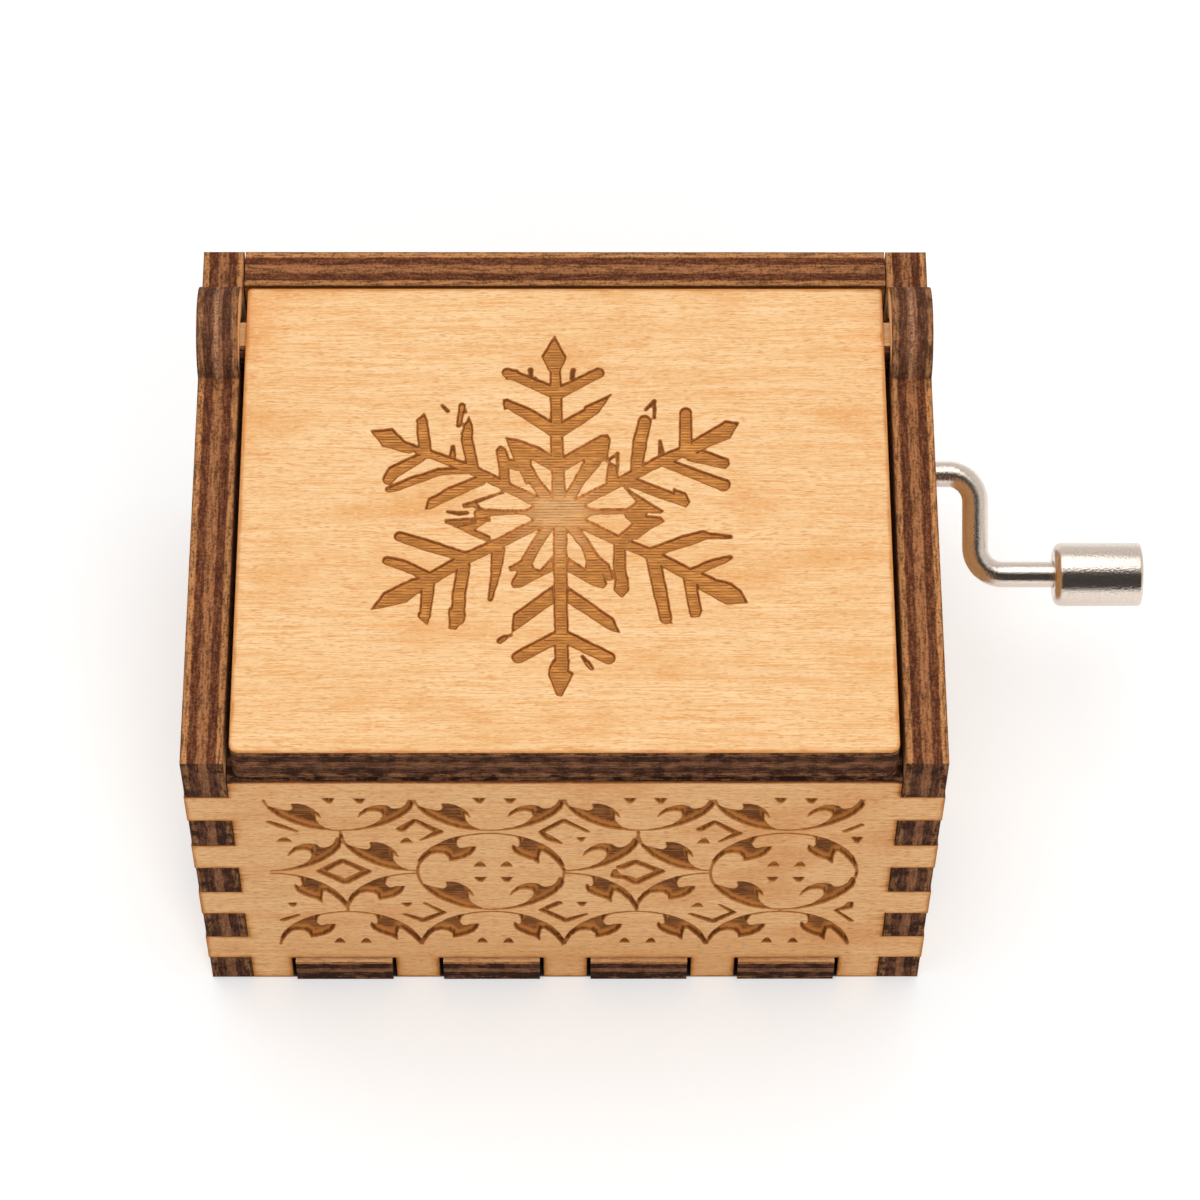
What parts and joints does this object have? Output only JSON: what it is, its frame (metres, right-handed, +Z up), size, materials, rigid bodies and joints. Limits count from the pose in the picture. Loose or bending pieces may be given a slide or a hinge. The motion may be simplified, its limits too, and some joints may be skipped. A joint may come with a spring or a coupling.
{
  "type": "hand-cranked music box",
  "caption": "Small plywood box with a hinged engraved lid and a side crank that turns a pinned cylinder against a steel comb.",
  "frame": {"origin": "middle of the case's underside, in the plane that it stands on", "axes": "+Z up, +X to the crank side, +Y to the back panel where the lid is hinged"},
  "size_m": [0.0847, 0.0518, 0.0457],
  "materials": {
    "birch_plywood": "laser-cut, unvarnished, with scorched edges",
    "cast_zinc": "as cast, satin zinc",
    "plated_sheet_steel": "zinc plated",
    "comb_steel": "ground",
    "screw_steel": "nickel plated",
    "cylinder_brass": "turned brass",
    "gear_brass": "cut brass",
    "shaft_steel": "turned steel",
    "nickel_plated_steel": "bright nickel plate"
  },
  "bodies": {
    "case": {"bottom_panel": "birch_plywood", "front_panel": "birch_plywood", "back_panel": "birch_plywood", "left_side_panel": "birch_plywood", "right_side_panel": "birch_plywood", "bedplate": "cast_zinc", "drive_bracket": "plated_sheet_steel", "comb": "comb_steel", "movement_screw_1": "screw_steel", "movement_screw_2": "screw_steel", "movement_screw_3": "screw_steel", "comb_screw_1": "screw_steel", "comb_screw_2": "screw_steel", "bracket_screw_1": "screw_steel", "bracket_screw_2": "screw_steel"},
    "lid": {"lid_panel": "birch_plywood"},
    "cylinder": {"cylinder_sleeve": "cylinder_brass", "front_cap": "cylinder_brass", "rear_cap": "cylinder_brass", "cylinder_arbor": "shaft_steel", "worm_wheel": "gear_brass"},
    "crank": {"crank_rod": "nickel_plated_steel", "worm": "shaft_steel", "left_collar": "gear_brass", "right_collar": "gear_brass"},
    "knob": {"crank_knob": "nickel_plated_steel"}
  },
  "joints": [
    {"name": "lid_hinge", "type": "hinge", "parent": "case", "child": "lid", "pos_m": [0, 0.0162, 0.04055], "axis": [-1, 0, 0], "range_deg": [0, 140]},
    {"name": "crank_spin", "type": "hinge", "parent": "case", "child": "crank", "pos_m": [0, 0.0147, 0.0215], "axis": [1, 0, 0], "continuous": true},
    {"name": "cylinder_spin", "type": "hinge", "parent": "case", "child": "cylinder", "pos_m": [0.007, 0, 0.0141], "axis": [0, 1, 0], "continuous": true},
    {"name": "knob_spin", "type": "hinge", "parent": "crank", "child": "knob", "pos_m": [0.0485, 0.00678, 0.01692], "axis": [1, 0, 0], "continuous": true}
  ],
  "couplings": [
    {"joint": "cylinder_spin", "follows": "crank_spin", "ratio": -0.05}
  ]
}
